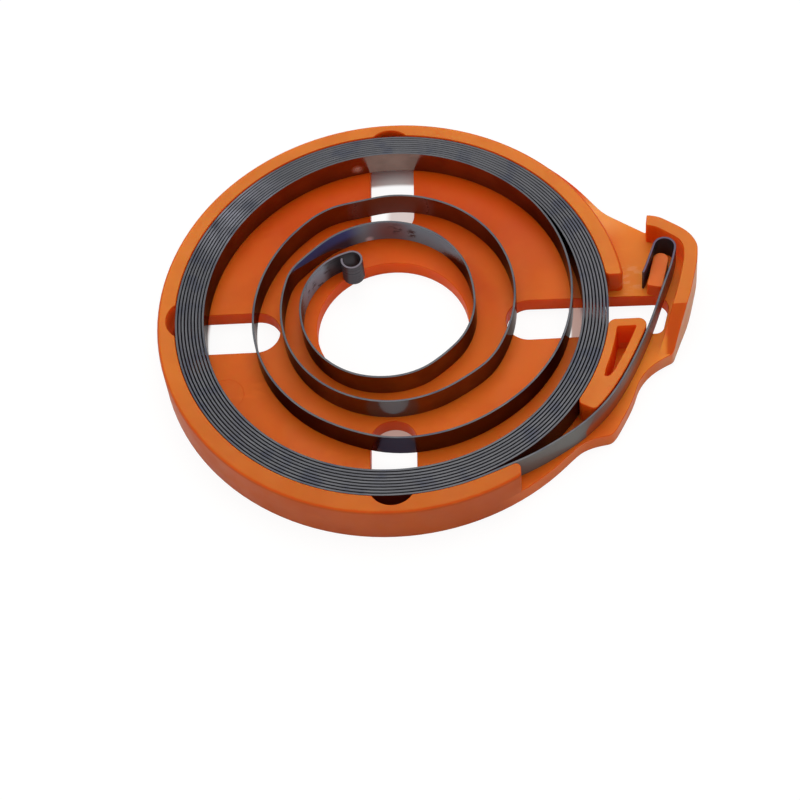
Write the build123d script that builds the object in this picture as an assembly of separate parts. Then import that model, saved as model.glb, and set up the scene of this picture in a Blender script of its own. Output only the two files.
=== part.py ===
from build123d import *
import os
from math import atan2, cos, degrees, radians, sin, sqrt, tan

# A rewind spring of blued steel strip in its moulded plastic cassette.
# The origin is on the axis of the rim and centre hole, at the underside; +Z is the open side.

# Housing plate and rim
rim_radius = 40.0
rim_wall = 3.0
pocket_shift = 0.3
housing_height = 8.0
base_thickness = 3.0
hole_radius = 13.05
rim_edge_round = 0.7
rim_edge_flats = 2
rim_end_y = 4.9
rim_end_x = 21.0
rim_end_round = 0.8

# Through slots of the plate: three bite into the rim, the fourth runs out under the ear's lead
slot_width = 7.75
side_slot_width = 8.05
side_slot_shift = -0.22
slot_hub_land = 6.35
slot_rim_bite = 1.45
ear_slot_reach = 6.8
ear_slot_slant = 14.0
ear_slot_taper = 0.35
ear_slot_far_round = 2.6
ear_slot_near_round = 1.5

# Ear: its far side leaves the rim, runs along a ledge and turns out to the hook wall.
# Stations are (x beyond the rim, y, heading), and the edge is walked clockwise seen from above.
ear_leaves_rim = 66.0
ear_ledge = 2.6
ear_ledge_start = 56.0
ear_ledge_end = 36.0
ear_far_side = [(-1.8, 20.8, -34.5), (3.9, 16.95, -34.5)]
ear_round_hook = [
    (4.3, 17.0, -4), (7.2, 16.05, -34), (10.0, 14.1, -37), (11.85, 12.05, -60), (12.55, 9.5, 267),
    (11.0, 1.5, 256), (7.6, -7.95, 250),
]
ear_near_side = [
    (6.95, -8.75, 206), (2.9, -11.55, 227), (0.75, -15.2, 253), (-2.65, -22.5, 241),
    (-4.5, -24.2, 189), (-7.8, -25.05, 203),
]
ear_meets_rim = -44.4

# Hook wall on the ear's edge, with the ramp at its foot
hook_wall_inside = [
    (4.0, 14.85, -6), (6.2, 14.1, -34), (8.9, 12.1, -38), (10.15, 9.4, 268), (8.75, 2.2, 255.5),
    (4.7, -8.8, 248),
]
ramp_top_y = -1.7
ramp_foot_y = -8.8
wall_end_round = 0.45

# Peg inside the hook
peg_width = 2.7
peg_length = 7.1
peg_height = 2.8
peg_reach = 5.7
peg_centre_y = 6.95
peg_tilt = 14.0
peg_foot_round = 0.5

# Wedge post between the coiled pack and the lead, with a blind pocket in it
wedge_depth = 9.0
wedge_tip_reach = -7.75
wedge_tip_y = -21.3
wedge_tip_angle = -29.0
wedge_tip_round = 0.9
wedge_top_round = 1.3
wedge_wall = 1.55
wedge_pocket_foot_y = -15.6
wedge_pocket_floor = 1.2
lead_clearance = 0.2

# Spring strip
strip_thickness = 0.38
strip_width = 4.8
pack_turns = 9
turn_gap_side = 0.195
turn_gap_top = 0.05
tight_direction = 87.0
wall_clearance = 0.1
crossover_direction = -65.0
crossover_half_angle = 30.0
hook_flare = [(2.98, 5.1, 62), (3.52, 6.3, 70.5)]
hook_bend_reach = 6.93
hook_bend_y = 10.35
hook_bend_radius = 1.83
hook_bend_entry = 71.0
hook_bend_leaving = 258.0
loose_direction = 45.0
eye_radius = 1.72
eye_entry = 14.0
eye_direction = 122.5
eye_depth = 19.65
eye_sweep = 296.0

floor_level = base_thickness
pocket_radius = rim_radius - rim_wall
slot_inner_reach = hole_radius + slot_hub_land
slot_outer_reach = pocket_radius + slot_rim_bite
wedge_top_y = side_slot_shift - side_slot_width / 2
turn_pitch_side = strip_thickness + turn_gap_side
turn_pitch_top = strip_thickness + turn_gap_top
outer_turn_radius = pocket_radius - wall_clearance - strip_thickness / 2
inner_turn_radius = outer_turn_radius - (pack_turns - 1) * turn_pitch_side
beyond = 2 * rim_radius

# The lead: its upper run as the ear's stations, its lower run as (direction, beyond the outer turn,
# heading)
lead_upper = [(7.35, 5.2, 249.5), (5.3, -0.5, 251.5), (2.0, -9.0, 246)]
lead_lower = [(-24.228, 4.96, 239), (-35.34, 3.744, 223.5), (-49.06, 1.748, 211)]

# Depth of the loose coils below the pack's inner turn, against the direction in degrees.
# The direction keeps falling as the strip winds inwards, clockwise seen from above.
loose_coils = [
    (28, -0.05), (15, 0.6), (0, 1.45), (-15, 2.3), (-30, 3.3), (-50, 4.6), (-70, 5.5), (-90, 6.3),
    (-108, 7.25), (-130, 7.8), (-155, 8.2), (-180, 8.6), (-205, 8.7), (-225, 8.4), (-243, 8.0),
    (-258, 8.5), (-272, 8.25), (-290, 8.35), (-315, 9.05), (-340, 10.2), (-360, 11.1),
    (-378, 11.75), (-392, 12.05), (-410, 12.95), (-430, 13.25), (-450, 13.35), (-480, 13.5),
    (-510, 13.5), (-540, 13.35), (-555, 13.1), (-566, 12.85), (-580, 13.4), (-605, 13.55),
    (-630, 13.9), (-655, 14.9), (-680, 16.3), (-705, 17.55), (-725, 17.95), (-745, 18.35),
    (-766, 18.8), (-790, 18.5), (-815, 18.15), (-845, 17.55), (-875, 17.05), (-905, 16.6),
    (-930, 16.3),
]


def polar(radius, angle):
    """A point about the pocket's centre."""
    return (radius * cos(radians(angle)), pocket_shift + radius * sin(radians(angle)))


def heading_vector(heading):
    return (cos(radians(heading)), sin(radians(heading)))


def arc_chain(stations):
    """Split each step between two stations (x, y, heading) into two arcs that meet smoothly."""
    chain = []
    for (x0, y0, h0), (x1, y1, h1) in zip(stations, stations[1:]):
        t0, t1 = heading_vector(h0), heading_vector(h1)
        v = (x1 - x0, y1 - y0)
        t = (t0[0] + t1[0], t0[1] + t1[1])
        along = v[0] * t[0] + v[1] * t[1]
        bend = 1 - t0[0] * t1[0] - t0[1] * t1[1]
        span = v[0] ** 2 + v[1] ** 2
        if bend < 1e-9:
            reach = span / (2 * along)
        else:
            reach = (sqrt(along ** 2 + 2 * bend * span) - along) / (2 * bend)
        mx = (x0 + x1 + reach * (t0[0] - t1[0])) / 2
        my = (y0 + y1 + reach * (t0[1] - t1[1])) / 2
        heading = degrees(atan2(v[1] - reach * t[1], v[0] - reach * t[0]))
        chain += [(x0, y0, h0), (mx, my, heading)]
    return chain + [stations[-1]]


def side_edges(chain, offset):
    """The chain's arcs moved to its left by the offset."""
    edges = []
    for (x0, y0, h0), (x1, y1, h1) in zip(chain, chain[1:]):
        t0, t1 = heading_vector(h0), heading_vector(h1)
        start = (x0 - offset * t0[1], y0 + offset * t0[0])
        end = (x1 - offset * t1[1], y1 + offset * t1[0])
        if abs(t0[0] * t1[1] - t0[1] * t1[0]) < 1e-5:
            edges.append(Line(start, end))
        else:
            edges.append(TangentArc(start, end, tangent=t0))
    return edges


def band(stations, left, right):
    """The flat face between two offsets of a smooth path, square at its ends."""
    chain = arc_chain(stations)
    left_edges, right_edges = side_edges(chain, left), side_edges(chain, right)
    caps = [
        Line(left_edges[0] @ 0, right_edges[0] @ 0),
        Line(left_edges[-1] @ 1, right_edges[-1] @ 1),
    ]
    return make_face(left_edges + right_edges + caps)


def pitch(angle):
    """Distance between turns; they lie closest on the far side of the pocket."""
    nearness = max(0.0, cos(radians(angle - tight_direction))) ** 2
    return turn_pitch_side + (turn_pitch_top - turn_pitch_side) * nearness


def pack_radius(angle):
    """Radius of the pack's strip; each turn is round, and steps in by one pitch at the crossover."""
    unwound = crossover_direction + crossover_half_angle - angle
    turn = int(unwound // 360)
    share = min((unwound - 360 * turn) / (2 * crossover_half_angle), 1.0)
    step = share * share * (3 - 2 * share)
    return outer_turn_radius - (turn - 1 + step) * pitch(angle)


def curve_station(radius_at, angle):
    """Place and heading on a curve given by its radius, wound clockwise."""
    small = 0.05
    x, y = polar(radius_at(angle), angle)
    ahead = polar(radius_at(angle - small), angle - small)
    behind = polar(radius_at(angle + small), angle + small)
    return (x, y, degrees(atan2(ahead[1] - behind[1], ahead[0] - behind[0])))


def hook_stations():
    """Hook over the peg: a flared end, a short leg and the bend that leads into the lead."""
    bend = [on_bend(heading) for heading in (hook_bend_entry, 0, hook_bend_leaving)]
    return beyond_rim(hook_flare) + bend


def on_bend(heading):
    """Where the strip has this heading on its way round the bend, clockwise."""
    across, along = heading_vector(heading)
    x = rim_radius + hook_bend_reach - hook_bend_radius * along
    return (x, hook_bend_y + hook_bend_radius * across, heading)


def lead_stations():
    """The lead runs from the hook past the wedge post to the pocket's outer turn."""
    lead = beyond_rim(lead_upper)
    for direction, outside, heading in lead_lower:
        lead.append((*polar(outer_turn_radius + outside, direction), heading))
    return lead + [curve_station(pack_radius, crossover_direction)]


def pack_stations():
    """The turns at the rim, each carried round in a few steps and then across to the next turn in."""
    steps = 4
    stations = []
    for turn in range(pack_turns):
        start = crossover_direction - 360 * turn
        if turn > 0:
            stations.append(curve_station(pack_radius, start))
        first = start - crossover_half_angle
        span = 360 - 2 * crossover_half_angle
        for step in range(steps + 1):
            angle = first - span * step / steps
            if angle > loose_start():
                stations.append(curve_station(pack_radius, angle))
    return stations + [curve_station(pack_radius, loose_start())]


def loose_start():
    """Direction where the inner turn leaves the pack, counted on from the first crossover."""
    return loose_direction - 360 * pack_turns


def loose_stations():
    """The loose coils as stations; each takes its slope from its two neighbours."""
    points = [(loose_direction, pack_radius(loose_start()))]
    points += [(angle, inner_turn_radius - depth) for angle, depth in loose_coils]
    stations = []
    for before, here, after in zip(points, points[1:], points[2:]):
        lead_in, lead_out = before[0] - here[0], here[0] - after[0]
        slope_in = (here[1] - before[1]) / lead_in
        slope_out = (after[1] - here[1]) / lead_out
        slope = (slope_in * lead_out + slope_out * lead_in) / (lead_in + lead_out)
        x, y = polar(here[1], here[0])
        fall = degrees(atan2(-degrees(slope), here[1]))
        stations.append((x, y, here[0] - 90 - fall))
    return stations


def eye_stations():
    """Round eye at the inner end, for the hub's catch."""
    x, y = polar(inner_turn_radius - eye_depth, eye_direction)
    arcs = 4
    stations = []
    for step in range(arcs + 1):
        heading = eye_entry - eye_sweep * step / arcs
        across, along = heading_vector(heading)
        stations.append((x - eye_radius * along, y + eye_radius * across, heading))
    return stations


def rewind_spring():
    path = hook_stations() + lead_stations() + pack_stations() + loose_stations() + eye_stations()
    face = band(path, strip_thickness / 2, -strip_thickness / 2)
    return Pos(0, 0, floor_level) * extrude(face, strip_width)


def beyond_rim(stations):
    """Stations whose x counts from the rim's outermost point."""
    return [(rim_radius + x, y, heading) for x, y, heading in stations]


def ear_edge():
    """The ear's edge from the rim on the far side, round the hook, and back to the rim on the near side."""
    leaving = [(*on_circle(rim_radius, ear_leaves_rim), ear_leaves_rim - 90)]
    for angle in (ear_ledge_start, ear_ledge_end):
        leaving.append((*on_circle(rim_radius + ear_ledge, angle), angle - 90))
    meeting = [(*on_circle(rim_radius, ear_meets_rim), ear_meets_rim - 90)]
    return leaving + beyond_rim(ear_far_side + ear_round_hook + ear_near_side) + meeting


def on_circle(radius, angle):
    return (radius * cos(radians(angle)), radius * sin(radians(angle)))


def ear_plate():
    edges = side_edges(arc_chain(ear_edge()), 0)
    edges.append(Line(edges[-1] @ 1, edges[0] @ 0))
    return make_face(edges)


def slot(angle, width, shift=0.0):
    """Round-ended slot that runs outwards from the hub space into the rim's inner wall."""
    length = slot_outer_reach - slot_inner_reach
    middle = (slot_outer_reach + slot_inner_reach) / 2
    return Pos(0, shift) * Rot(0, 0, angle) * Pos(middle, 0) * SlotOverall(length, width)


def ear_slot():
    """The fourth slot has no rim across it: it runs on under the lead and ends along the hook wall."""
    half = side_slot_width / 2
    lean = half * tan(radians(ear_slot_slant))
    inner, outer = slot_inner_reach + half, rim_radius + ear_slot_reach
    shape = make_face(Polyline(
        (inner, -half), (outer - lean, -half), (outer + lean, half - ear_slot_taper), (inner, half), close=True,
    ))
    shape = fillet(shape.vertices().sort_by(Axis.X)[-1], ear_slot_far_round)
    near_corner = shape.vertices().filter_by(lambda corner: corner.Y < 0).sort_by(Axis.X)[-1]
    shape = fillet(near_corner, ear_slot_near_round)
    return Pos(0, side_slot_shift) * (shape + Pos(inner, 0) * Circle(half))


def rim():
    """Rim with its upper edge eased, open between its two ends and where the lead passes in."""
    ring = Circle(rim_radius) - Pos(0, pocket_shift) * Circle(pocket_radius)
    opening = Pos(rim_end_x, rim_end_y) * Rectangle(beyond, beyond, align=(Align.MIN, Align.MAX))
    passage = strip_thickness / 2 + wall_clearance
    wall = ring - opening - band(lead_stations() + pack_stations()[:2], passage, -rim_wall)
    wall = extrude(wall, housing_height)
    uprights = wall.edges().filter_by(Axis.Z)
    ends = uprights.filter_by(lambda edge: abs(edge.center().X - rim_end_x) < 0.01)
    ends += uprights.filter_by(lambda edge: abs(edge.center().Y - rim_end_y) < 0.01 and edge.center().X > 0)
    return fillet(ends, rim_end_round) & eased_disc()


def eased_disc():
    """Disc as high as the rim, whose upper edge turns over in a few narrow flats."""
    centre_x, centre_z = rim_radius - rim_edge_round, housing_height - rim_edge_round
    profile = [(0, 0), (rim_radius, 0)]
    for step in range(rim_edge_flats + 1):
        across, up = heading_vector(90 * step / rim_edge_flats)
        profile.append((centre_x + rim_edge_round * across, centre_z + rim_edge_round * up))
    profile.append((0, housing_height))
    return revolve(Plane.XZ * make_face(Polyline(*profile, close=True)), Axis.Z)


def wedge_face(inset):
    """Plan between the lead and the pack, drawn in from the post's own outline by the inset."""
    near_lead = strip_thickness / 2 + lead_clearance + inset
    face = band(lead_stations()[1:6], -near_lead, -wedge_depth)
    face -= Pos(0, pocket_shift) * Circle(pocket_radius + inset)
    face -= Pos(0, wedge_top_y - inset) * Rectangle(2 * beyond, beyond, align=(Align.CENTER, Align.MIN))
    return face


def wedge_post():
    tip = Rot(0, 0, wedge_tip_angle) * Rectangle(rim_radius, rim_radius, align=(Align.CENTER, Align.MAX))
    face = wedge_face(0) - Pos(rim_radius + wedge_tip_reach, wedge_tip_y) * tip
    post = extrude(face, housing_height)
    uprights = post.edges().filter_by(Axis.Z).sort_by(Axis.Y)
    post = fillet(uprights[:2], wedge_tip_round)
    post = fillet(post.edges().filter_by(Axis.Z).sort_by(Axis.Y)[-2:], wedge_top_round)
    foot = Pos(0, wedge_pocket_foot_y) * Rectangle(2 * beyond, beyond, align=(Align.CENTER, Align.MAX))
    pocket = wedge_face(wedge_wall) - foot
    return post, Pos(0, 0, wedge_pocket_floor) * extrude(pocket, housing_height)


def hook_wall():
    """Wall that shields the hook, with a ramp down to the plate at its near end."""
    outer_edges = side_edges(arc_chain(beyond_rim(ear_round_hook + ear_near_side[:2])), 0)
    inner_edges = side_edges(arc_chain(beyond_rim(hook_wall_inside)), 0)
    caps = [Line(outer_edges[0] @ 0, inner_edges[0] @ 0), Line(outer_edges[-1] @ 1, inner_edges[-1] @ 1)]
    wall = extrude(make_face(outer_edges + inner_edges + caps), housing_height)
    wall = fillet(wall.edges().filter_by(Axis.Z).sort_by(Axis.X)[:2], wall_end_round)
    side = make_face(Polyline(
        (ramp_foot_y, base_thickness), (ramp_top_y, housing_height), (ramp_top_y, 2 * housing_height),
        (-rim_radius, 2 * housing_height), (-rim_radius, base_thickness), close=True,
    ))
    return wall - extrude(Plane.YZ * side, beyond)


def peg():
    shape = Rectangle(peg_width, peg_length)
    corners = shape.vertices().sort_by(Axis.Y)
    shape = fillet(corners[:2], peg_foot_round)
    shape = fillet(shape.vertices().sort_by(Axis.Y)[-2:], 0.48 * peg_width)
    shape = Pos(rim_radius + peg_reach, peg_centre_y) * Rot(0, 0, -peg_tilt) * shape
    return extrude(shape, base_thickness + peg_height)


def spring_housing():
    plate = Circle(rim_radius) + ear_plate()
    post, post_pocket = wedge_post()
    body = extrude(plate, base_thickness) + rim() + post + hook_wall() + peg()
    cuts = Circle(hole_radius) + slot(90, slot_width) + slot(270, slot_width)
    cuts += slot(180, side_slot_width, side_slot_shift) + ear_slot()
    return body - extrude(cuts, housing_height) - post_pocket


if __name__ == "__main__":
    os.makedirs("parts", exist_ok=True)
    export_step(spring_housing(), "parts/spring_housing.step")
    export_step(rewind_spring(), "parts/rewind_spring.step")
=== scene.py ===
import bpy
import bmesh
from math import radians, sin, cos
from mathutils import Matrix, Vector
from mathutils.kdtree import KDTree


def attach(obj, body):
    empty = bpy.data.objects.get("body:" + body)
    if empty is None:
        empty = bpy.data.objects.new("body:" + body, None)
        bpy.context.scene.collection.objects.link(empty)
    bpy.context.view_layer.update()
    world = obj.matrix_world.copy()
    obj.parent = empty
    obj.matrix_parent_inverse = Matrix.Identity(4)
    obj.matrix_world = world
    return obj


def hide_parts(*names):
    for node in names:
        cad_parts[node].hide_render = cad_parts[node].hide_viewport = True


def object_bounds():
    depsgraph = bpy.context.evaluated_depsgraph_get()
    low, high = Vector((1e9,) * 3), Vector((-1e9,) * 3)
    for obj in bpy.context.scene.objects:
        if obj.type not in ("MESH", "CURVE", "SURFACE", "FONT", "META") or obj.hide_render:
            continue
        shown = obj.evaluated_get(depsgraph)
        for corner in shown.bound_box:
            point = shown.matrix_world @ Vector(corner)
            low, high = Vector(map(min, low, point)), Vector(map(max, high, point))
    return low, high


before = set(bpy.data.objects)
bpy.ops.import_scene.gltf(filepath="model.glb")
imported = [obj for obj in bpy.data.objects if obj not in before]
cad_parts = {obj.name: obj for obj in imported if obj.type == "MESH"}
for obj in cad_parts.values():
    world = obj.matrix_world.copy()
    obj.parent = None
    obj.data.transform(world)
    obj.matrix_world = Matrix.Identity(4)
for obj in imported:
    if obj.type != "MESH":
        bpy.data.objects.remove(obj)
cadBox = [[float(v) for v in corner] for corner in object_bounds()]
scene = bpy.context.scene
mm = 0.001
print("cassette frame loaded:", sorted(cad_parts))


# small helpers for meshes and node trees; settings give lengths in millimetres, angles in degrees

meshSettings = {
    "weldWithin": 0.002,
    "flatWithin": 0.4,
    "uprightWithin": 0.01,
    "sharpAngle": 40,
    "normalWeight": 60,
}


def weldedCopy(nodeName):
    # a CAD node is loose triangles, so the copy is merged and its flats are joined up
    s = meshSettings
    bm = bmesh.new()
    bm.from_mesh(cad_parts[nodeName].data)
    bmesh.ops.remove_doubles(bm, verts=bm.verts, dist=s["weldWithin"] * mm)
    bmesh.ops.dissolve_limit(bm, angle_limit=radians(s["flatWithin"]), use_dissolve_boundaries=False,
                             verts=bm.verts, edges=bm.edges, delimit=set())
    return bm


def isUpright(edge):
    one, other = edge.verts
    return (one.co.xy - other.co.xy).length < meshSettings["uprightWithin"] * mm


def convexEdges(bm, overDegrees):
    return [e for e in bm.edges if e.is_manifold and e.calc_face_angle_signed(0) > radians(overDegrees)]


def roundEdges(bm, edges, offset, segments, clamp=False):
    bmesh.ops.bevel(bm, geom=edges, affect="EDGES", offset=offset * mm, offset_type="OFFSET",
                    segments=segments, profile=0.5, material=-1, clamp_overlap=clamp)


def pieceFrom(bm, name, material):
    # an eased corner never passes the CAD's box
    for v in bm.verts:
        for axis in range(3):
            v.co[axis] = min(max(v.co[axis], cadBox[0][axis]), cadBox[1][axis])
    bmesh.ops.recalc_face_normals(bm, faces=bm.faces)
    mesh = bpy.data.meshes.new(name)
    bm.to_mesh(mesh)
    bm.free()
    mesh.materials.append(material)
    mesh.polygons.foreach_set("use_smooth", [True] * len(mesh.polygons))
    mesh.set_sharp_from_angle(angle=radians(meshSettings["sharpAngle"]))
    piece = bpy.data.objects.new(name, mesh)
    scene.collection.objects.link(piece)
    evenNormals = piece.modifiers.new("evenNormals", "WEIGHTED_NORMAL")
    evenNormals.keep_sharp = True
    evenNormals.weight = meshSettings["normalWeight"]
    return piece


def setOrLink(tree, socket, value):
    if isinstance(value, bpy.types.NodeSocket):
        tree.links.new(value, socket)
    else:
        socket.default_value = value


def addNode(tree, kind, inputs=None, **settings):
    node = tree.nodes.new(kind)
    for key, value in settings.items():
        setattr(node, key, value)
    for key, value in (inputs or {}).items():
        setOrLink(tree, node.inputs[key], value)
    return node


def newMaterial(name):
    material = bpy.data.materials.new(name)
    material.use_nodes = True
    tree = material.node_tree
    shader = tree.nodes["Principled BSDF"]
    objectPlace = addNode(tree, "ShaderNodeTexCoord").outputs["Object"]
    return material, tree, shader, objectPlace


def partsOf(tree, vector):
    parts = addNode(tree, "ShaderNodeSeparateXYZ", {"Vector": vector})
    return [parts.outputs[axis] for axis in "XYZ"]


def noiseAt(tree, place, size, stretch=(1, 1, 1), detail=3.0, roughness=0.55):
    # noise whose features are about size millimetres, drawn out along an axis by stretch
    scale = tuple(1 / (mm * size * s) for s in stretch)
    scaled = addNode(tree, "ShaderNodeMapping", {"Vector": place, "Scale": scale})
    return addNode(tree, "ShaderNodeTexNoise", {
        "Vector": scaled.outputs["Vector"], "Scale": 1.0, "Detail": detail,
        "Roughness": roughness}).outputs["Fac"]


def rampBetween(tree, value, low, high, start=0.0, end=1.0):
    return addNode(tree, "ShaderNodeMapRange", {
        "Value": value, "From Min": low, "From Max": high, "To Min": start, "To Max": end},
        interpolation_type="SMOOTHSTEP").outputs["Result"]


def rampAcross(tree, value, span, start=0.0, end=1.0):
    # a ramp between two places in millimetres
    return rampBetween(tree, value, span[0] * mm, span[1] * mm, start, end)


def distanceTo(tree, place, centre):
    return addNode(tree, "ShaderNodeVectorMath", {0: place, 1: tuple(mm * c for c in centre)},
                   operation="DISTANCE").outputs["Value"]


def nearPoint(tree, place, centre, inner, outer):
    # one inside inner millimetres of a point, nothing beyond outer
    return rampAcross(tree, distanceTo(tree, place, centre), (outer, inner))


def mathOf(tree, operation, a, b):
    return addNode(tree, "ShaderNodeMath", {0: a, 1: b}, operation=operation).outputs[0]


def both(tree, a, b):
    return mathOf(tree, "MULTIPLY", a, b)


def either(tree, a, b):
    return mathOf(tree, "MAXIMUM", a, b)


def without(tree, share):
    return mathOf(tree, "SUBTRACT", 1.0, share)


def mixValues(tree, share, a, b):
    return addNode(tree, "ShaderNodeMix", {0: share, 2: a, 3: b}).outputs[0]


def mixColours(tree, share, a, b, blend="MIX"):
    node = addNode(tree, "ShaderNodeMix", data_type="RGBA", blend_type=blend)
    for socket, value in ((node.inputs[0], share), (node.inputs[6], a), (node.inputs[7], b)):
        setOrLink(tree, socket, value)
    return node.outputs[2]


def awayFromAxis(tree, place):
    # the way out from the cassette's axis, and how far out
    flat = addNode(tree, "ShaderNodeVectorMath", {0: place, 1: (1, 1, 0)},
                   operation="MULTIPLY").outputs["Vector"]
    length = addNode(tree, "ShaderNodeVectorMath", {0: flat}, operation="LENGTH").outputs["Value"]
    return flat, length


# moulded orange plastic of the cassette

plasticSettings = {
    # the colours that change with the place are painted to the photograph's light, and stay under other light

    # the plate's floor, with painted shade that deepens from the near side to the far side, far in y and
    # round the hub's far half
    "nearFloor": (0.79, 0.158, 0.01, 1),
    "farFloor": (0.7, 0.084, 0.001, 1),
    "farFrom": (1, 27),
    "roundHub": (21, 17),
    "hubFarHalf": (-6, 9),
    "hubShare": 0.7,
    # the ear's floor and its paler bit against the rim, both painted light: place, inner and outer reach
    "earFloor": (0.88, 0.28, 0.03, 1),
    "earFrom": (34, 41),
    "earFarFloor": (0.95, 0.42, 0.11, 1),
    "earFar": ((36.5, 21.5, 3.0), 1.5, 7.0),
    # slopes, painted darker as shade, and what counts as a slope and as level by the face's upward part
    "slope": (0.66, 0.1, 0.003, 1),
    "slopeFrom": (0.3, 0.7),
    "levelFrom": (0.88, 0.97),
    # upper faces of the rim and the posts with painted light, darker near and paler far, and the peg's lower
    # top
    "nearTop": (0.64, 0.155, 0.012, 1),
    "farTop": (0.75, 0.215, 0.028, 1),
    "topFarInY": (-34, 4),
    "topFarInX": (22, 36),
    "topHeight": (6.6, 7.7),
    "pegTop": (0.86, 0.185, 0.035, 1),
    "pegHeight": (4.4, 5.2),
    # upright walls inside and outside, the ear's outer wall and the plate's bare side by the lead
    # painted light: the inner walls redder, as light bounced within the plastic
    "innerWall": (0.88, 0.11, 0.005, 1),
    # painted shade: the outer wall darker
    "outerWall": (0.53, 0.1, 0.016, 1),
    "rimOutside": (39.1, 39.7),
    "rimEndsInX": (34, 28),
    # painted reflection: the ear's outer wall paler, as it mirrors its white surroundings
    "earOuterWall": (0.65, 0.26, 0.13, 1),
    "earWallInX": (44, 46),
    "earWallFacing": (0.3, 0.7),
    "plateSide": (0.72, 0.16, 0.035, 1),
    "plateHeight": (3.1, 2.8),
    "plateOutside": (38.5, 39.3),
    "plateSideInX": (16, 24),
    "besideSlot": (4.4, 5.4),
    # a weak glow for the light in the deep corners of the thin plastic: place, inner and outer reach, share
    "throughLight": (0.3, 0.032, 0.006, 1),
    "deepCorners": [
        ((39.3, -9.5, 4.4), 4.0, 6.2, 0.16),
        ((51.0, 11.5, 4.5), 3.0, 6.0, 0.8),
        ((-37.6, 0.4, 5.4), 2.5, 4.2, 0.45),
    ],
    "deepOnFloors": ((0.98, 0.6), 0.5),
    "belowRimTop": (7.95, 7.4),
    "aboveUnderside": (0, 1.5),
    "facingOut": (0.75, 0.5),
    # mottling: the colour that darkens, size, stretch and ramp of the clouds and of the flow lines
    "mottle": (0.93, 0.88, 0.8, 1),
    "clouds": (9.0, (1, 1, 1), (0.35, 0.65)),
    "flowLines": (3.0, (2.2, 1, 1), (0.55, 0.75)),
    # a painted sheen on the ear's floor: pale wavy patches where the moulded floor catches the light, painted
    # as colour
    "paintedSheen": ((40.4, 7.4, 3.0), 1.5, 4.5),
    "sheenSpots": (1.6, (1.6, 0.7, 1), (0.48, 0.6)),
    "sheenColour": (0.95, 0.5, 0.25, 1),
    "sheenShare": 0.35,
    # the ejector pin's ring: middle, radius, half width from outside to inside, colour share,
    # and strength and depth of its relief
    "pinMark": (-28.3, -12.6, 3.0),
    "pinRadius": 2.96,
    "pinRing": (0.17, 0.03),
    "pinShare": 0.35,
    "pinRelief": (0.6, -0.05),
    # surface: smears in the roughness like the clouds, peel and grain as size, detail, strength and depth
    "smears": (5.0, (1, 3, 1), (0.3, 0.7)),
    "roughness": (0.35, 0.5),
    "peel": (2.2, 3.0, 0.25, 0.05),
    "grain": (0.35, 2.0, 0.35, 0.012),
    "mirrorShare": 0.13,
    "softGlow": 0.7,
    "glowDepth": 1.5,
    "glowColours": (1.0, 0.2, 0.05),
}


def levelPlastic(tree, place, fromAxis):
    # colour of the faces that look up: the plate's floor, the peg's top and the rim's top
    s = plasticSettings
    x, y, z = partsOf(tree, place)
    roundHub = both(tree, rampAcross(tree, fromAxis, s["roundHub"]),
                    rampAcross(tree, y, s["hubFarHalf"], 0, s["hubShare"]))
    far = either(tree, rampAcross(tree, y, s["farFrom"]), roundHub)
    floor = mixColours(tree, far, s["nearFloor"], s["farFloor"])
    floor = mixColours(tree, rampAcross(tree, x, s["earFrom"]), floor, s["earFloor"])
    floor = mixColours(tree, nearPoint(tree, place, *s["earFar"]), floor, s["earFarFloor"])
    farTop = either(tree, rampAcross(tree, y, s["topFarInY"]), rampAcross(tree, x, s["topFarInX"]))
    top = mixColours(tree, farTop, s["nearTop"], s["farTop"])
    level = mixColours(tree, rampAcross(tree, z, s["pegHeight"]), floor, s["pegTop"])
    return mixColours(tree, rampAcross(tree, z, s["topHeight"]), level, top)


def wallPlastic(tree, place, fromAxis, facingX):
    # colour of the upright faces, inside and outside
    s = plasticSettings
    x, y, z = partsOf(tree, place)
    outside = both(tree, rampAcross(tree, fromAxis, s["rimOutside"]), rampAcross(tree, x, s["rimEndsInX"]))
    wall = mixColours(tree, outside, s["innerWall"], s["outerWall"])
    onPlate = both(tree, rampAcross(tree, z, s["plateHeight"]), rampAcross(tree, fromAxis, s["plateOutside"]))
    onPlate = both(tree, onPlate, rampAcross(tree, x, s["plateSideInX"]))
    offSlot = rampAcross(tree, mathOf(tree, "ABSOLUTE", y, 0.0), s["besideSlot"])
    wall = mixColours(tree, both(tree, onPlate, offSlot), wall, s["plateSide"])
    onEar = both(tree, rampAcross(tree, x, s["earWallInX"]),
                 rampBetween(tree, facingX, *s["earWallFacing"]))
    return mixColours(tree, onEar, wall, s["earOuterWall"])


def deepCornerShare(tree, place, flat, normal, upward):
    # where light shines through: weaker on floors, and nothing on the outside of the walls
    s = plasticSettings
    z = partsOf(tree, place)[2]
    deep = None
    for corner, inner, outer, share in s["deepCorners"]:
        near = both(tree, nearPoint(tree, place, corner, inner, outer), share)
        deep = near if deep is None else either(tree, deep, near)
    floorRamp, floorShare = s["deepOnFloors"]
    away = addNode(tree, "ShaderNodeVectorMath", {0: flat}, operation="NORMALIZE").outputs["Vector"]
    outward = addNode(tree, "ShaderNodeVectorMath", {0: normal, 1: away},
                      operation="DOT_PRODUCT").outputs["Value"]
    for limit in (
            rampBetween(tree, upward, *floorRamp, floorShare, 1),
            rampAcross(tree, z, s["belowRimTop"]),
            rampAcross(tree, z, s["aboveUnderside"]),
            rampBetween(tree, outward, *s["facingOut"])):
        deep = both(tree, deep, limit)
    return deep


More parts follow.
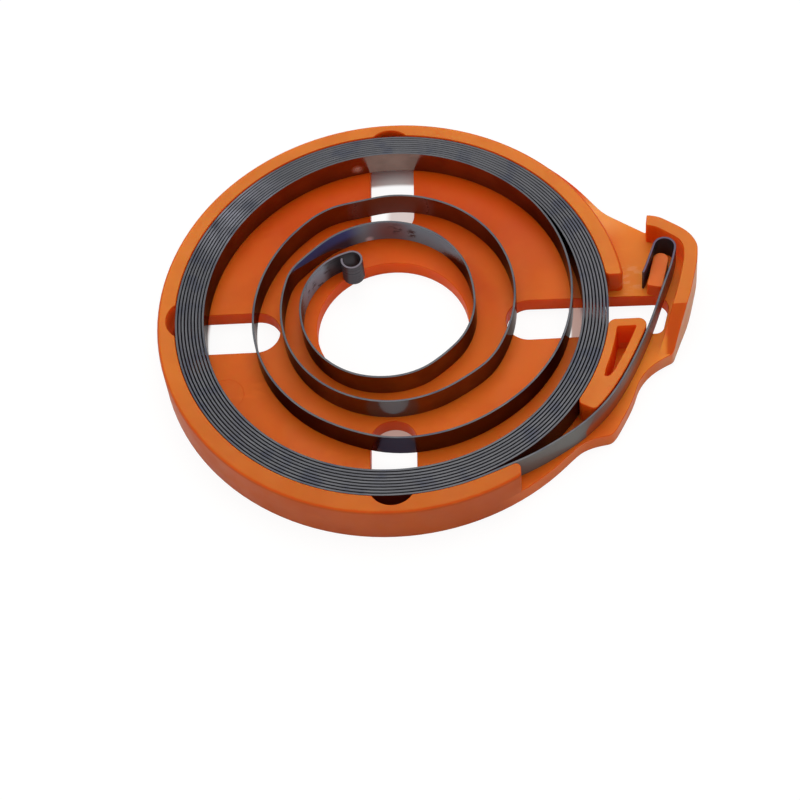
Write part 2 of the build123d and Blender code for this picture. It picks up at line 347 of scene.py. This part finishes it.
def mouldedOrangePlastic():
    s = plasticSettings
    material, tree, shader, place = newMaterial("mouldedOrangePlastic")
    flat, fromAxis = awayFromAxis(tree, place)
    normal = addNode(tree, "ShaderNodeNewGeometry").outputs["Normal"]
    facing = partsOf(tree, normal)
    upward = facing[2]
    wall = wallPlastic(tree, place, fromAxis, facing[0])
    colour = mixColours(tree, rampBetween(tree, upward, *s["slopeFrom"]), wall, s["slope"])
    level = levelPlastic(tree, place, fromAxis)
    colour = mixColours(tree, rampBetween(tree, upward, *s["levelFrom"]), colour, level)

    def patches(size, stretch, ramp, start=0.0, end=1.0):
        return rampBetween(tree, noiseAt(tree, place, size, stretch), *ramp, start, end)

    mottle = either(tree, patches(*s["clouds"]), patches(*s["flowLines"]))
    colour = mixColours(tree, without(tree, mottle), colour, s["mottle"], "MULTIPLY")
    # painted sheen on the ear's floor
    spots = patches(*s["sheenSpots"], end=s["sheenShare"])
    sheenPatch = both(tree, nearPoint(tree, place, *s["paintedSheen"]), spots)
    colour = mixColours(tree, sheenPatch, colour, s["sheenColour"])
    fromPin = distanceTo(tree, place, s["pinMark"])
    offRing = mathOf(tree, "ABSOLUTE", mathOf(tree, "SUBTRACT", fromPin, s["pinRadius"] * mm), 0.0)
    pinRing = rampAcross(tree, offRing, s["pinRing"])
    colour = mixColours(tree, both(tree, pinRing, s["pinShare"]), colour, s["farFloor"])
    tree.links.new(colour, shader.inputs["Base Color"])

    deep = deepCornerShare(tree, place, flat, normal, upward)
    tree.links.new(mixColours(tree, deep, (0, 0, 0, 1), s["throughLight"]), shader.inputs["Emission Color"])
    shader.inputs["Emission Strength"].default_value = 1.0
    material.cycles.emission_sampling = "NONE"

    tree.links.new(patches(*s["smears"], *s["roughness"]), shader.inputs["Roughness"])
    strength, depth = s["pinRelief"]
    relief = addNode(tree, "ShaderNodeBump", {
        "Height": pinRing, "Strength": strength, "Distance": depth * mm}).outputs["Normal"]
    for size, detail, strength, depth in (s["peel"], s["grain"]):
        relief = addNode(tree, "ShaderNodeBump", {
            "Height": noiseAt(tree, place, size, detail=detail), "Strength": strength,
            "Distance": depth * mm, "Normal": relief}).outputs["Normal"]
    tree.links.new(relief, shader.inputs["Normal"])
    shader.inputs["Specular IOR Level"].default_value = s["mirrorShare"]
    shader.inputs["Subsurface Weight"].default_value = s["softGlow"]
    shader.inputs["Subsurface Radius"].default_value = s["glowColours"]
    shader.inputs["Subsurface Scale"].default_value = s["glowDepth"] * mm
    return material


# blued spring steel: dark mirror faces, paler sheared edges, temper tints at the softened ends

steelSettings = {
    # bare face, its clouds and its rolled streaks; a noise is its size, stretch, detail and roughness
    "face": (0.26, 0.18, 0.155, 1),
    "faceDark": (0.2, 0.138, 0.12, 1),
    "clouds": (5.0,),
    "cloudRamp": (0.35, 0.68),
    "streak": (0.3, 0.22, 0.19, 1),
    "rolled": (0.3, (60, 1, 1), 4.0),
    "streakRamp": (0.5, 0.78),
    "streakShare": 0.4,
    "roughRamp": (0.3, 0.75),
    "faceRoughness": (0.11, 0.21),
    "hazeRoughness": 0.42,
    "grazing": (0.3, 0.3, 0.3, 1),
    # the strip's foot and top, how far its outer side is shifted on its map, and where the map counts as it
    "foot": 3.0,
    "top": 7.8,
    "outerSideShift": 20,
    "outerSideFrom": 15,
    # the loose turns' outer sides are painted darker away from the hub, as the photograph's light has them
    "looseShade": (0.05, 0.03, 0.035, 1),
    "looseShare": 0.6,
    "darkOuter": (22.0, 24.0),
    "looseSoft": 4,
    # the softened end's inner side: blue oxide, then grey, a painted reflection of the white below the hub,
    # then bare again; each place is x, y on the strip
    "blueTop": (-16.6, 8.7),
    "blueFoot": (-8.3, 16.0),
    "blueSoft": 1.0,
    "greyFrom": (-6.4, 16.4),
    "greySpan": (1.5, -2.5),
    "greyTop": (12.6, 9.8),
    "greyFoot": (8.6, 14.2),
    "greySoft": 2.0,
    "blueUpper": (0.05, 0.1, 0.32, 1),
    "blueLower": (0.05, 0.05, 0.09, 1),
    "upperFrom": (4.6, 6.2),
    # the painted grey reflection, then how dull the oxide and the painted reflection make the mirror
    "paintedReflectionGrey": (0.2, 0.31, 0.385, 1),
    "oxideAndReflectionDull": 0.84,
    # the last bit before the eye, and the eye
    "approachEnd": (-15.2, 3.0),
    "approachGrey": (0.28, 0.34, 0.42, 1),
    "approachDull": 0.8,
    "approachSoft": 3,
    "patches": (1.6, (1, 1, 1), 4.0),
    "patchRamp": (0.3, 0.44),
    "eyeEnd": (-11.6, 10.2),
    "eyeSpan": (0.8, -1.2),
    "eyeDark": (0.082, 0.077, 0.09, 1),
    "eyeDull": 0.5,
    # inside the pack the faces are dull, and the last turn's outer side has its shade painted on:
    # colour, how dull
    "secondTurn": (23.53, 23.53),
    "pastLoose": (23.44, 23.44),
    "packSoft": 3,
    # the pack's faces are painted an even grey in place of their mirror images
    "packFace": ((0.12, 0.12, 0.13, 1), 0.7),
    "lastTurn": 240.0,
    "shadedTurn": ((0.05, 0.008, 0.004, 1), 0.85),
    # the lead's outer side, painted with what it mirrors in the photograph: a grey patch that ends in a
    # bow, then brown with a paler upper half
    "leadFrom": (20.5, -31.8),
    "leadSpan": (-8, -2),
    "leadTurn": (33.2, -23.4),
    "bowHeights": (7.8, 4.4),
    "bowReach": (0.6, -1.6),
    "bowSoft": 0.3,
    "leadGrey": (0.155, 0.157, 0.152, 1),
    "leadBrown": (0.38, 0.085, 0.03, 1),
    "leadUpper": (0.2, 0.115, 0.1, 1),
    "leadUpperFrom": (4.6, 6.4),
    "leadDull": 0.65,
    "hookFrom": (47.4, 7.0),
    "hookSoft": 4,
    "hookFace": ((0.055, 0.042, 0.045, 1), 0.6),
    # painted patches, which don't move with the view: two tint the near slot's mirror images, two are
    # small glints, and the brown one hides the far slot's mirror image on one turn
    # place, inner and outer reach, colour, how dull
    "mirrorPatches": [
        ((0.6, -25.5, 5.4), 2.8, 4.2, (0.06, 0.052, 0.075, 1), 0.0),
        ((0.0, -18.6, 5.4), 3.8, 5.0, (0.16, 0.15, 0.157, 1), 0.2),
        ((-5.9, 32.2, 4.6), 0.3, 1.5, (0.62, 0.6, 0.57, 1), 0.5),
        ((-3.9, 18.0, 3.5), 0.2, 1.0, (0.75, 0.85, 0.95, 1), 0.7),
        ((0.0, 24.0, 5.4), 4.2, 8.5, (0.19, 0.031, 0.005, 1), 0.95),
    ],
    # scuffs, broken up into specks: place and reach
    "scuffs": [
        ((0.9, 18.4, 5.8), 2.0), ((3.6, 17.4, 5.2), 1.8),
        ((-10.7, 10.0, 5.4), 1.5), ((-13.4, 7.0, 5.0), 1.8),
    ],
    "scuffCore": 0.2,
    "scuffFace": ((0.05, 0.045, 0.05, 1), 0.7),
    "specks": (0.8, (1.8, 1.8, 0.8), 5.0, 0.7),
    "speckRamp": (0.5, 0.58),
    # sheared edges: what counts as one by its upward part, then their tones
    "edgeFacing": (0.35, 0.8),
    "edge": (0.084, 0.087, 0.097, 1),
    "edgeDark": (0.058, 0.06, 0.07, 1),
    "edgeStreaks": (0.35, (25, 1, 1), 3.0),
    "edgeStreakRamp": (0.38, 0.62),
    "edgeTint": (4.5, (1, 1, 1), 2.0),
    "edgeBlue": (0.03, 0.036, 0.062, 1),
    "edgeBlueRamp": (0.5, 0.68),
    "edgeBlueShare": 0.45,
    # a painted highlight on the edges of the pack's upper left: its tone, place, inner and outer reach, and
    # ramp on the tint
    "edgeBright": (0.13, 0.135, 0.165, 1),
    "paintedEdgeHighlight": ((-27.7, 21.7, 7.8), 3.0, 13.0),
    "brightRamp": (0.75, 0.3),
    # the eye's edges: a violet tone, painted lighter as a highlight
    "edgeEye": (0.1, 0.09, 0.11, 1),
    "edgeEyeSpan": (6, -3),
    "edgeHook": (0.07, 0.05, 0.085, 1),
    "edgeRoughness": 0.4,
    # speckle in the sheared edges' relief, then its strength and depth
    "edgeSpeckle": (0.5, (1, 1, 1), 4.0, 0.7),
    "edgeRelief": (0.4, 0.02),
}


def bluedSpringSteel(alongAt):
    s = steelSettings
    material, tree, shader, place = newMaterial("bluedSpringSteel")
    upward = partsOf(tree, addNode(tree, "ShaderNodeNewGeometry").outputs["Normal"])[2]
    isEdge = rampBetween(tree, mathOf(tree, "ABSOLUTE", upward, 0.0), *s["edgeFacing"])
    run = addNode(tree, "ShaderNodeUVMap", uv_map="alongStrip").outputs["UV"]
    along, across = partsOf(tree, run)[:2]
    outerSide = mathOf(tree, "GREATER_THAN", across, s["outerSideFrom"] * mm)
    innerSide = without(tree, outerSide)
    at = {key: alongAt(*s[key]) for key in (
        "blueTop", "blueFoot", "greyFrom", "greyTop", "greyFoot", "approachEnd", "eyeEnd",
        "secondTurn", "hookFrom")}
    outerAt = {key: alongAt(*s[key], outer=True) for key in ("pastLoose", "leadFrom", "leadTurn", "hookFrom")}

    def between(line, span):
        # a ramp along the strip, from span[0] to span[1] millimetres past a line
        return rampBetween(tree, along, line + span[0] * mm, line + span[1] * mm)

    def beyond(innerLine, outerLine, soft):
        inner, outer = (between(line, (-soft, soft)) for line in (innerLine, outerLine))
        return mathOf(tree, "ADD", both(tree, innerSide, inner), both(tree, outerSide, outer))

    def slanting(top, foot, soft):
        # one on the eye's side of a line that runs from the strip's top edge down to its foot
        line = rampBetween(tree, across, s["top"] * mm, s["foot"] * mm, at[top], at[foot])
        return rampAcross(tree, mathOf(tree, "SUBTRACT", line, along), (-s[soft], s[soft]))

    rolled = noiseAt(tree, run, *s["rolled"])
    cloud = noiseAt(tree, place, *s["clouds"])
    face = mixColours(tree, rampBetween(tree, cloud, *s["cloudRamp"]), s["faceDark"], s["face"])
    streaked = rampBetween(tree, rolled, *s["streakRamp"], 0, s["streakShare"])
    face = mixColours(tree, streaked, face, s["streak"])
    dull = 0.0

    def lay(share, colour, dullness):
        # the next layer on the face: its colour, and how dull it makes the mirror
        return mixColours(tree, share, face, colour), mixValues(tree, share, dull, dullness)

    # loose turns
    fromAxis = awayFromAxis(tree, place)[1]
    onLoose = between(outerAt["pastLoose"], (s["looseSoft"], -s["looseSoft"]))
    outerLoose = both(tree, outerSide, both(tree, onLoose, rampAcross(tree, fromAxis, s["darkOuter"])))
    face, dull = lay(both(tree, outerLoose, s["looseShare"]), s["looseShade"], 0.0)

    # softened end and eye
    blue = mixColours(tree, rampAcross(tree, across, s["upperFrom"]), s["blueLower"], s["blueUpper"])
    # blue oxide, then the painted grey reflection
    oxideAndReflection = mixColours(tree, between(at["greyFrom"], s["greySpan"]), blue, s["paintedReflectionGrey"])
    tinted = both(tree, innerSide, both(tree, slanting("blueTop", "blueFoot", "blueSoft"),
                                        without(tree, slanting("greyTop", "greyFoot", "greySoft"))))
    face, dull = lay(tinted, oxideAndReflection, s["oxideAndReflectionDull"])
    onApproach = both(tree, innerSide, between(at["approachEnd"], (s["approachSoft"], -s["approachSoft"])))
    patchy = rampBetween(tree, noiseAt(tree, place, *s["patches"]), *s["patchRamp"])
    face, dull = lay(onApproach, mixColours(tree, patchy, s["eyeDark"], s["approachGrey"]), s["approachDull"])
    face, dull = lay(between(at["eyeEnd"], s["eyeSpan"]), s["eyeDark"], s["eyeDull"])

    # pack
    lastTurn = outerAt["leadFrom"] - s["lastTurn"] * mm
    onEarlier = rampBetween(tree, both(tree, outerSide, along), lastTurn, lastTurn - s["packSoft"] * mm)
    inPack = both(tree, beyond(at["secondTurn"], outerAt["pastLoose"], s["packSoft"]), onEarlier)
    face, dull = lay(inPack, *s["packFace"])
    onLast = both(tree, outerSide, between(lastTurn, (-s["packSoft"], 0)))
    face, dull = lay(onLast, *s["shadedTurn"])

    # lead and hook
    onLead = both(tree, outerSide, between(outerAt["leadFrom"], s["leadSpan"]))
    height = mathOf(tree, "SUBTRACT", across, s["outerSideShift"] * mm)
    brown = mixColours(tree, rampAcross(tree, height, s["leadUpperFrom"]), s["leadBrown"], s["leadUpper"])
    bowFrom, bowTo = (outerAt["leadTurn"] + reach * mm for reach in s["bowReach"])
    bow = rampAcross(tree, height, s["bowHeights"], bowFrom, bowTo)
    pastBow = rampAcross(tree, mathOf(tree, "SUBTRACT", along, bow), (-s["bowSoft"], s["bowSoft"]))
    face, dull = lay(onLead, mixColours(tree, pastBow, s["leadGrey"], brown), s["leadDull"])
    inHook = beyond(at["hookFrom"], outerAt["hookFrom"], s["hookSoft"])
    face, dull = lay(inHook, *s["hookFace"])

    # painted mirror patches, and scuffs
    for centre, inner, outer, tone, dullness in s["mirrorPatches"]:
        face, dull = lay(nearPoint(tree, place, centre, inner, outer), tone, dullness)
    specks = rampBetween(tree, noiseAt(tree, place, *s["specks"]), *s["speckRamp"])
    for centre, reach in s["scuffs"]:
        near = nearPoint(tree, place, centre, reach * s["scuffCore"], reach)
        face, dull = lay(both(tree, near, specks), *s["scuffFace"])

    # sheared edges
    streaks = rampBetween(tree, noiseAt(tree, run, *s["edgeStreaks"]), *s["edgeStreakRamp"])
    tint = noiseAt(tree, place, *s["edgeTint"])
    edge = mixColours(tree, streaks, s["edgeDark"], s["edge"])
    blued = rampBetween(tree, tint, *s["edgeBlueRamp"], 0, s["edgeBlueShare"])
    edge = mixColours(tree, blued, edge, s["edgeBlue"])
    # painted highlight on the pack's upper left edges
    edgeHighlight = both(tree, nearPoint(tree, place, *s["paintedEdgeHighlight"]), rampBetween(tree, tint, *s["brightRamp"]))
    edge = mixColours(tree, edgeHighlight, edge, s["edgeBright"])
    edge = mixColours(tree, between(at["eyeEnd"], s["edgeEyeSpan"]), edge, s["edgeEye"])
    edge = mixColours(tree, inHook, edge, s["edgeHook"])

    tree.links.new(mixColours(tree, isEdge, face, edge), shader.inputs["Base Color"])
    rough = rampBetween(tree, rolled, *s["roughRamp"], *s["faceRoughness"])
    rough = mixValues(tree, dull, rough, s["hazeRoughness"])
    tree.links.new(mixValues(tree, isEdge, rough, s["edgeRoughness"]), shader.inputs["Roughness"])
    metal = without(tree, both(tree, dull, without(tree, isEdge)))
    tree.links.new(metal, shader.inputs["Metallic"])
    strength, depth = s["edgeRelief"]
    bump = addNode(tree, "ShaderNodeBump", {
        "Height": noiseAt(tree, place, *s["edgeSpeckle"]), "Strength": both(tree, isEdge, strength),
        "Distance": depth * mm})
    tree.links.new(bump.outputs["Normal"], shader.inputs["Normal"])
    shader.inputs["Specular Tint"].default_value = s["grazing"]
    return material


# the cassette: the CAD housing with its moulded edges eased

cassetteSettings = {
    "edgeEase": 0.17,
    "easeSegments": 2,
    "easedOver": 30,
    # the wedge's pocket: where it lies, how much its tip is drawn in, how its upright corners are rounded
    "pocketX": (34.0, 43.0),
    "pocketY": (-17.0, -5.0),
    "tipBelow": -14.0,
    "tipDraw": 0.3,
    "pocketRound": 0.5,
    "pocketSegments": 5,
    # the peg's foot on the ear slot's far edge: its span in x, its y and the plate's top, what counts as
    # on them, and how the edge there is found and divided
    "footX": (42.3, 46.9),
    "footY": 3.52,
    "plateTop": 3.0,
    "levelWithin": 0.01,
    "slotEdgeWithin": 0.45,
    "footWithin": 0.35,
    "longEdge": 5,
    "footCuts": 40,
}


def roundPocket(bm):
    s = cassetteSettings
    lowX, highX = s["pocketX"]
    lowY, highY = s["pocketY"]
    corners = [e for e in bm.edges if isUpright(e) and e.is_manifold
               and e.calc_face_angle_signed(0) < -radians(s["easedOver"])
               and lowX < e.verts[0].co.x / mm < highX and lowY < e.verts[0].co.y / mm < highY]
    tip = {v for e in corners for v in e.verts if v.co.y / mm < s["tipBelow"]}
    middle = sum(v.co.x for v in tip) / len(tip)
    for v in tip:
        v.co.x += s["tipDraw"] * mm * (1 if v.co.x < middle else -1)
    print("pocket corners:", len(corners), "of which at the tip:", len(tip) // 2)
    roundEdges(bm, corners, s["pocketRound"], s["pocketSegments"], clamp=True)


def makeCassette():
    s = cassetteSettings
    bm = weldedCopy("spring_housing")
    roundPocket(bm)

    # the ear slot's far edge touches the peg's foot, so it is left sharp just there
    left, right = s["footX"]

    def onSlotEdge(v, within):
        return (abs(v.co.y / mm - s["footY"]) < within
                and abs(v.co.z / mm - s["plateTop"]) < s["levelWithin"])

    slotEdge = [e for e in bm.edges if all(onSlotEdge(v, s["slotEdgeWithin"]) for v in e.verts)
                and e.calc_length() > s["longEdge"] * mm and max(v.co.x / mm for v in e.verts) > left]
    bmesh.ops.subdivide_edges(bm, edges=slotEdge, cuts=s["footCuts"])
    eased = [e for e in convexEdges(bm, s["easedOver"]) if not all(
        left < v.co.x / mm < right and onSlotEdge(v, s["footWithin"]) for v in e.verts)]
    roundEdges(bm, eased, s["edgeEase"], s["easeSegments"])
    cassette = pieceFrom(bm, "cassette", mouldedOrangePlastic())
    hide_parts("spring_housing")
    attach(cassette, "root")
    print("cassette made:", len(cassette.data.polygons), "faces")


# the strip: the CAD spring with its sheared edges softened

stripSettings = {
    "edgeEase": 0.06,
    "easeSegments": 2,
    "easedOver": 60,
    "sampleEvery": 0.15,
    "squareEndOver": 70,
    "nearestSamples": 60,
}


def sideRuns(bm):
    # the strip's upright edges, walked round from face to face, then split at its two square ends
    uprights = {e for e in bm.edges if isUpright(e)}
    first = next(iter(uprights))
    loop, edge, face = [], first, first.link_faces[0]
    while True:
        loop.append(edge.verts[0].co.xy.copy())
        edge = next(e for e in face.edges if e in uprights and e is not edge)
        face = next(f for f in edge.link_faces if f is not face)
        if edge is first:
            break
    count = len(loop)
    steps = [loop[(i + 1) % count] - loop[i] for i in range(count)]
    turns = [abs(steps[i].angle_signed(steps[i - 1])) for i in range(count)]
    square = radians(stripSettings["squareEndOver"])
    ends = [i for i in range(count) if turns[i] > square and turns[(i + 1) % count] > square]
    one = loop[ends[0] + 1:ends[1] + 1]
    two = loop[ends[1] + 1:] + loop[:ends[0] + 1]
    # each run starts at the eye's end, and the shorter one is the inner side
    runs = [run if run[0].length < run[-1].length else run[::-1] for run in (one, two)]
    return sorted(runs, key=lambda run: sum((b - a).length for a, b in zip(run, run[1:])))


def layAlong(bm, runs):
    # a flat map whose first way is the distance from the eye's end and whose second is the height
    samples = []
    for side, run in enumerate(runs):
        gone = 0.0
        for a, b in zip(run, run[1:]):
            length = (b - a).length
            count = max(1, int(length / (stripSettings["sampleEvery"] * mm)))
            for step in range(count):
                share = step / count
                samples.append((a.lerp(b, share), gone + share * length, side))
            gone += length
    tree = KDTree(len(samples))
    for i, (point, gone, side) in enumerate(samples):
        tree.insert((point.x, point.y, 0), i)
    tree.balance()
    layer = bm.loops.layers.uv.new("alongStrip")
    for face in bm.faces:
        for loop in face.loops:
            x, y, z = loop.vert.co
            point, gone, side = samples[tree.find((x, y, 0))[1]]
            loop[layer].uv = (gone, z + side * steelSettings["outerSideShift"] * mm)

    def alongAt(x, y, outer=False):
        found = tree.find_n((x * mm, y * mm, 0), stripSettings["nearestSamples"])
        near = [samples[i] for point, i, away in found]
        return next(gone for point, gone, side in near if side == outer)

    return alongAt


def makeStrip():
    s = stripSettings
    bm = weldedCopy("rewind_spring")
    runs = sideRuns(bm)
    roundEdges(bm, convexEdges(bm, s["easedOver"]), s["edgeEase"], s["easeSegments"])
    alongAt = layAlong(bm, runs)
    strip = pieceFrom(bm, "spring_strip", bluedSpringSteel(alongAt))
    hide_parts("rewind_spring")
    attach(strip, "root")
    print("strip made:", len(strip.data.polygons), "faces")


makeCassette()
makeStrip()


# floor, backdrop light and lamps; the floor's size and the lamps' distances and sizes are in metres

studioSettings = {
    "floorSize": 6.0,
    "floorColour": (0.9, 0.9, 0.9, 1),
    "floorGlow": 1.06,
    # how much of the floor's own white is seen straight and in a mirror
    "floorLift": 0.85,
    "floorMirrored": 0.27,
    # the floor stays unlifted from the pack's inner edge to past it, which is less far on the ear's side
    "underPack": (31.9, 32.7),
    "pastPack": 39.4,
    "pastPackByEar": 36.7,
    "earSide": (5, 20),
    # painted shade on bits of floor in the slots, between the turns: colour, then place, inner and outer
    # reach, share
    "shadedFloor": (0.42, 0.26, 0.22, 1),
    "shadedBits": [((3.0, 25.0, 0.0), 3.2, 4.6, 0.6), ((0.2, -19.8, 0.0), 3.0, 3.6, 1.0)],
    # where the painted shade beside the pack in the ear's slot starts
    "besidePack": (30.2, 30.7),
    # strength of the room where it lights and where it is seen or mirrored
    "roomLight": (0.5, 1.0),
    "lamps": [
        # name, azimuth and elevation as seen from the object, distance, size, power, colour
        ("keySoftbox", 165, 68, 1.1, 0.9, 4.4, (1.0, 0.94, 0.84)),
        ("ceilingPanel", 0, 85, 1.2, 1.4, 1.4, (1.0, 0.97, 0.92)),
        ("leftSoftbox", 290, 45, 1.2, 0.7, 1.0, (1.0, 1.0, 1.0)),
        ("frontFill", 10, 40, 1.5, 1.0, 0.4, (1.0, 1.0, 1.0)),
    ],
}


def studioFloorWhite():
    s = studioSettings
    material = bpy.data.materials.new("studioFloorWhite")
    material.use_nodes = True
    tree = material.node_tree
    tree.nodes.clear()
    rays = addNode(tree, "ShaderNodeLightPath").outputs
    straight = either(tree, rays["Is Camera Ray"], rays["Is Transmission Ray"])
    seen = both(tree, straight, s["floorLift"])
    mirrored = both(tree, rays["Is Glossy Ray"], s["floorMirrored"])

    # the pack's own shadow stays below it, and on the ear's side it ends where the ear's slot starts
    place = addNode(tree, "ShaderNodeTexCoord").outputs["Object"]
    out = addNode(tree, "ShaderNodeVectorMath", {0: place}, operation="LENGTH").outputs["Value"]
    onEarSide = rampAcross(tree, partsOf(tree, place)[0], s["earSide"])
    end = mixValues(tree, onEarSide, s["pastPack"] * mm, s["pastPackByEar"] * mm)
    clear = rampAcross(tree, out, s["underPack"], 1, 0)
    clear = either(tree, clear, mathOf(tree, "GREATER_THAN", out, end))
    lift = both(tree, either(tree, seen, mirrored), clear)

    # painted shade beside the pack in the ear's slot and on the bits between the turns, seen straight only
    shade = both(tree, rampAcross(tree, out, s["besidePack"]),
                 mathOf(tree, "LESS_THAN", out, s["pastPackByEar"] * mm))
    shade = both(tree, shade, onEarSide)
    for centre, inner, outer, share in s["shadedBits"]:
        shade = either(tree, shade, both(tree, nearPoint(tree, place, centre, inner, outer), share))
    tone = mixColours(tree, both(tree, shade, straight), (1, 1, 1, 1), s["shadedFloor"])

    paint = addNode(tree, "ShaderNodeBsdfDiffuse", {"Color": s["floorColour"]}).outputs[0]
    white = addNode(tree, "ShaderNodeEmission", {"Color": tone, "Strength": s["floorGlow"]}).outputs[0]
    mix = addNode(tree, "ShaderNodeMixShader", {0: lift, 1: paint, 2: white}).outputs[0]
    addNode(tree, "ShaderNodeOutputMaterial", {"Surface": mix})
    return material


def makeFloor():
    bm = bmesh.new()
    bmesh.ops.create_grid(bm, x_segments=1, y_segments=1, size=studioSettings["floorSize"] / 2)
    mesh = bpy.data.meshes.new("studioFloor")
    bm.to_mesh(mesh)
    bm.free()
    mesh.materials.append(studioFloorWhite())
    floor = bpy.data.objects.new("studioFloor", mesh)
    scene.collection.objects.link(floor)


def makeWorld():
    world = bpy.data.worlds.new("studioRoom")
    scene.world = world
    world.use_nodes = True
    tree = world.node_tree
    tree.nodes.clear()
    rays = addNode(tree, "ShaderNodeLightPath").outputs
    seen = either(tree, rays["Is Camera Ray"], rays["Is Glossy Ray"])
    seen = either(tree, seen, rays["Is Transmission Ray"])
    strength = rampBetween(tree, seen, 0, 1, *studioSettings["roomLight"])
    light = addNode(tree, "ShaderNodeBackground", {"Color": (1, 1, 1, 1), "Strength": strength})
    addNode(tree, "ShaderNodeOutputWorld", {"Surface": light.outputs[0]})


def directionOf(azimuth, elevation):
    # azimuth runs from the front round to the ear's side
    a, e = radians(azimuth), radians(elevation)
    return Vector((sin(a) * cos(e), -cos(a) * cos(e), sin(e)))


def makeLamps():
    for name, azimuth, elevation, distance, size, power, colour in studioSettings["lamps"]:
        lamp = bpy.data.lights.new(name, "AREA")
        lamp.shape = "DISK"
        lamp.size = size
        lamp.energy = power
        lamp.color = colour
        holder = bpy.data.objects.new(name, lamp)
        scene.collection.objects.link(holder)
        holder.location = directionOf(azimuth, elevation) * distance
        holder.rotation_euler = holder.location.to_track_quat("Z", "Y").to_euler()


# camera at the photograph's angle; its target, distance and clip are in metres

cameraSettings = {
    "azimuth": 6.221,
    "elevation": 57.177,
    "roll": -7.887,
    "distance": 0.423847,
    "target": (0.000909, -0.013361, 0.0),
    "lens": 112.63,
    "sensor": 36.0,
    "clip": (0.01, 20.0),
}


def makeCamera():
    s = cameraSettings
    back = directionOf(s["azimuth"], s["elevation"])
    a, r = radians(s["azimuth"]), radians(s["roll"])
    right = Vector((cos(a), sin(a), 0))
    up = back.cross(right)
    tiltedRight = cos(r) * right + sin(r) * up
    tiltedUp = -sin(r) * right + cos(r) * up
    camera = bpy.data.cameras.new("photoCamera")
    camera.sensor_fit = "HORIZONTAL"
    camera.sensor_width = s["sensor"]
    camera.lens = s["lens"]
    camera.clip_start, camera.clip_end = s["clip"]
    holder = bpy.data.objects.new("photoCamera", camera)
    scene.collection.objects.link(holder)
    turn = Matrix((tiltedRight, tiltedUp, back)).transposed()
    holder.matrix_world = Matrix.Translation(Vector(s["target"]) + back * s["distance"]) @ turn.to_4x4()
    scene.camera = holder


makeFloor()
makeWorld()
makeLamps()
makeCamera()
scene.view_settings.view_transform = "Standard"
print("studio made")
